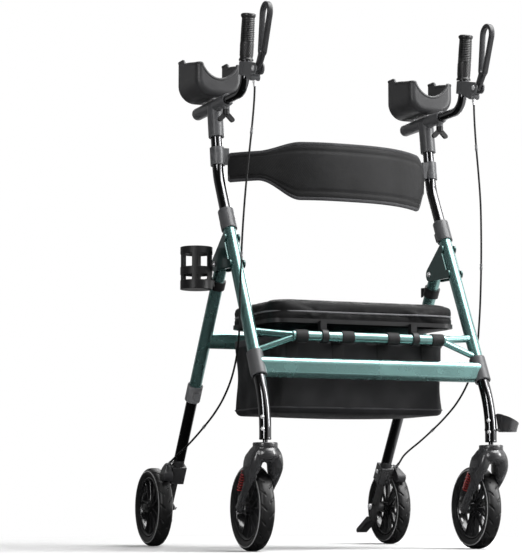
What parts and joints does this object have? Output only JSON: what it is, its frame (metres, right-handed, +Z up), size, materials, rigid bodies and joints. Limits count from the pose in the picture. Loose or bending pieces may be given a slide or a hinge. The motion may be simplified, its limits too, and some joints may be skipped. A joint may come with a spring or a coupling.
{
  "type": "upright walker",
  "caption": "Folding upright walker on wheels with forearm troughs, upright hand grips with loop brake levers, a padded seat, a back belt and a storage bag.",
  "frame": {"origin": "centre of the walker's box on the floor", "axes": "+Z up, +Y to the rear, towards the user; X across, with the cup holder on the -X side"},
  "size_m": [0.7801, 0.7892, 1.305],
  "materials": {
    "teal_paint": "glossy metallic dark teal-green",
    "black_paint": "gloss black",
    "black_plastic": "satin black",
    "dark_plastic": "satin dark grey",
    "grey_plastic": "satin mid grey",
    "tyre_rubber": "dull moulded rubber",
    "grip_rubber": "ribbed rubber",
    "gloss_plastic": "gloss black rim",
    "black_fabric": "woven black nylon",
    "seat_vinyl": "padded black vinyl",
    "bolt_steel": "bright plated",
    "spring_red": "red coated wire"
  },
  "bodies": {
    "front_frame": {"front_leg_left": "teal_paint", "front_leg_right": "teal_paint", "front_crossbar": "teal_paint", "seat_tube": "teal_paint", "fold_brackets": "teal_paint", "leg_collars": "dark_plastic", "frame_bolts": "bolt_steel", "storage_bag": "black_fabric", "brake_cable_left": "black_plastic", "brake_cable_right": "black_plastic"},
    "rear_frame": {"rear_leg_left": "teal_paint", "rear_leg_right": "teal_paint", "rear_crossbar": "teal_paint", "rear_collars": "grey_plastic", "cup_holder": "black_plastic", "cane_clip": "black_plastic"},
    "seat": {"seat_board": "black_plastic", "seat_cushion": "seat_vinyl"},
    "upper_left": {"post_left": "black_paint", "tee_bracket_left": "grey_plastic", "arm_trough_left": "black_plastic", "arm_bolts_left": "bolt_steel", "belt_clamp_left": "black_plastic", "back_belt": "black_fabric"},
    "handle_left": {"handle_tube_left": "black_paint", "hand_grip_left": "grip_rubber", "brake_housing_left": "grey_plastic"},
    "lever_left": {"brake_lever_left": "dark_plastic"},
    "screw_left": {"wing_screw_left": "black_plastic"},
    "front_foot_left": {"front_lower_leg_left": "black_paint"},
    "caster_left": {"fork_left": "dark_plastic", "fork_springs_left": "spring_red"},
    "front_wheel_left": {"front_tyre_left": "tyre_rubber", "front_rim_left": "gloss_plastic"},
    "rear_foot_left": {"rear_lower_leg_left": "black_paint", "brake_bracket_left": "grey_plastic"},
    "rear_wheel_left": {"rear_tyre_left": "tyre_rubber", "rear_rim_left": "gloss_plastic"},
    "shoe_left": {"brake_shoe_left": "dark_plastic"},
    "upper_right": {"post_right": "black_paint", "tee_bracket_right": "grey_plastic", "arm_trough_right": "black_plastic", "arm_bolts_right": "bolt_steel", "belt_clamp_right": "black_plastic"},
    "handle_right": {"handle_tube_right": "black_paint", "hand_grip_right": "grip_rubber", "brake_housing_right": "grey_plastic"},
    "lever_right": {"brake_lever_right": "dark_plastic"},
    "screw_right": {"wing_screw_right": "black_plastic"},
    "front_foot_right": {"front_lower_leg_right": "black_paint", "cane_cup": "black_plastic"},
    "caster_right": {"fork_right": "dark_plastic", "fork_springs_right": "spring_red"},
    "front_wheel_right": {"front_tyre_right": "tyre_rubber", "front_rim_right": "gloss_plastic"},
    "rear_foot_right": {"rear_lower_leg_right": "black_paint", "brake_bracket_right": "grey_plastic"},
    "rear_wheel_right": {"rear_tyre_right": "tyre_rubber", "rear_rim_right": "gloss_plastic"},
    "shoe_right": {"brake_shoe_right": "dark_plastic"}
  },
  "joints": [
    {"name": "fold", "type": "hinge", "parent": "front_frame", "child": "rear_frame", "pos_m": [0.01645, -0.07924, 0.702], "axis": [-1, 0, 0], "range_deg": [0, 30], "deforming": ["storage_bag", "brake_cable_left", "brake_cable_right"]},
    {"name": "seat_lift", "type": "hinge", "parent": "front_frame", "child": "seat", "pos_m": [0.01645, -0.30086, 0.512], "axis": [1, 0, 0], "range_deg": [0, 80]},
    {"name": "post_slide_left", "type": "slide", "parent": "front_frame", "child": "upper_left", "axis": [0, 0.4586, 0.8886], "range_m": [-0.03, 0.08]},
    {"name": "handle_slide_left", "type": "slide", "parent": "upper_left", "child": "handle_left", "axis": [0, -1, 0], "range_m": [-0.03, 0.05]},
    {"name": "lever_squeeze_left", "type": "hinge", "parent": "handle_left", "child": "lever_left", "pos_m": [-0.28355, -0.31486, 1.152], "axis": [-1, 0, 0], "range_deg": [0, 18], "stiffness_Nm_per_rad": 2, "springref_deg": -6.88},
    {"name": "screw_turn_left", "type": "hinge", "parent": "upper_left", "child": "screw_left", "pos_m": [-0.28355, -0.10763, 1.08], "axis": [0, 0, 1], "range_deg": [0, 270]},
    {"name": "front_leg_slide_left", "type": "slide", "parent": "front_frame", "child": "front_foot_left", "axis": [0, -0.4586, -0.8886], "range_m": [0, 0.06]},
    {"name": "swivel_left", "type": "hinge", "parent": "front_foot_left", "child": "caster_left", "pos_m": [-0.28355, -0.35986, 0.24], "axis": [0, 0, 1], "continuous": true},
    {"name": "front_spin_left", "type": "hinge", "parent": "caster_left", "child": "front_wheel_left", "pos_m": [-0.28355, -0.27986, 0.1015], "axis": [1, 0, 0], "continuous": true},
    {"name": "rear_leg_slide_left", "type": "slide", "parent": "rear_frame", "child": "rear_foot_left", "axis": [0, 0.527, -0.8499], "range_m": [0, 0.06]},
    {"name": "rear_spin_left", "type": "hinge", "parent": "rear_foot_left", "child": "rear_wheel_left", "pos_m": [-0.32655, 0.29314, 0.1015], "axis": [1, 0, 0], "continuous": true},
    {"name": "brake_press_left", "type": "hinge", "parent": "rear_foot_left", "child": "shoe_left", "pos_m": [-0.28355, 0.2299, 0.20348], "axis": [1, 0, 0], "range_deg": [0, 3.6]},
    {"name": "post_slide_right", "type": "slide", "parent": "front_frame", "child": "upper_right", "axis": [0, 0.4586, 0.8886], "range_m": [-0.03, 0.08]},
    {"name": "handle_slide_right", "type": "slide", "parent": "upper_right", "child": "handle_right", "axis": [0, -1, 0], "range_m": [-0.03, 0.05]},
    {"name": "lever_squeeze_right", "type": "hinge", "parent": "handle_right", "child": "lever_right", "pos_m": [0.31645, -0.31486, 1.152], "axis": [-1, 0, 0], "range_deg": [0, 18], "stiffness_Nm_per_rad": 2, "springref_deg": -6.88},
    {"name": "screw_turn_right", "type": "hinge", "parent": "upper_right", "child": "screw_right", "pos_m": [0.31645, -0.10763, 1.08], "axis": [0, 0, 1], "range_deg": [0, 270]},
    {"name": "front_leg_slide_right", "type": "slide", "parent": "front_frame", "child": "front_foot_right", "axis": [0, -0.4586, -0.8886], "range_m": [0, 0.06]},
    {"name": "swivel_right", "type": "hinge", "parent": "front_foot_right", "child": "caster_right", "pos_m": [0.31645, -0.35986, 0.24], "axis": [0, 0, 1], "continuous": true},
    {"name": "front_spin_right", "type": "hinge", "parent": "caster_right", "child": "front_wheel_right", "pos_m": [0.31645, -0.27986, 0.1015], "axis": [1, 0, 0], "continuous": true},
    {"name": "rear_leg_slide_right", "type": "slide", "parent": "rear_frame", "child": "rear_foot_right", "axis": [0, 0.527, -0.8499], "range_m": [0, 0.06]},
    {"name": "rear_spin_right", "type": "hinge", "parent": "rear_foot_right", "child": "rear_wheel_right", "pos_m": [0.35945, 0.29314, 0.1015], "axis": [1, 0, 0], "continuous": true},
    {"name": "brake_press_right", "type": "hinge", "parent": "rear_foot_right", "child": "shoe_right", "pos_m": [0.31645, 0.2299, 0.20348], "axis": [1, 0, 0], "range_deg": [0, 3.6]}
  ],
  "couplings": [
    {"joint": "post_slide_right", "follows": "post_slide_left", "ratio": 1},
    {"joint": "brake_press_left", "follows": "lever_squeeze_left", "ratio": 0.2},
    {"joint": "brake_press_right", "follows": "lever_squeeze_right", "ratio": 0.2}
  ]
}
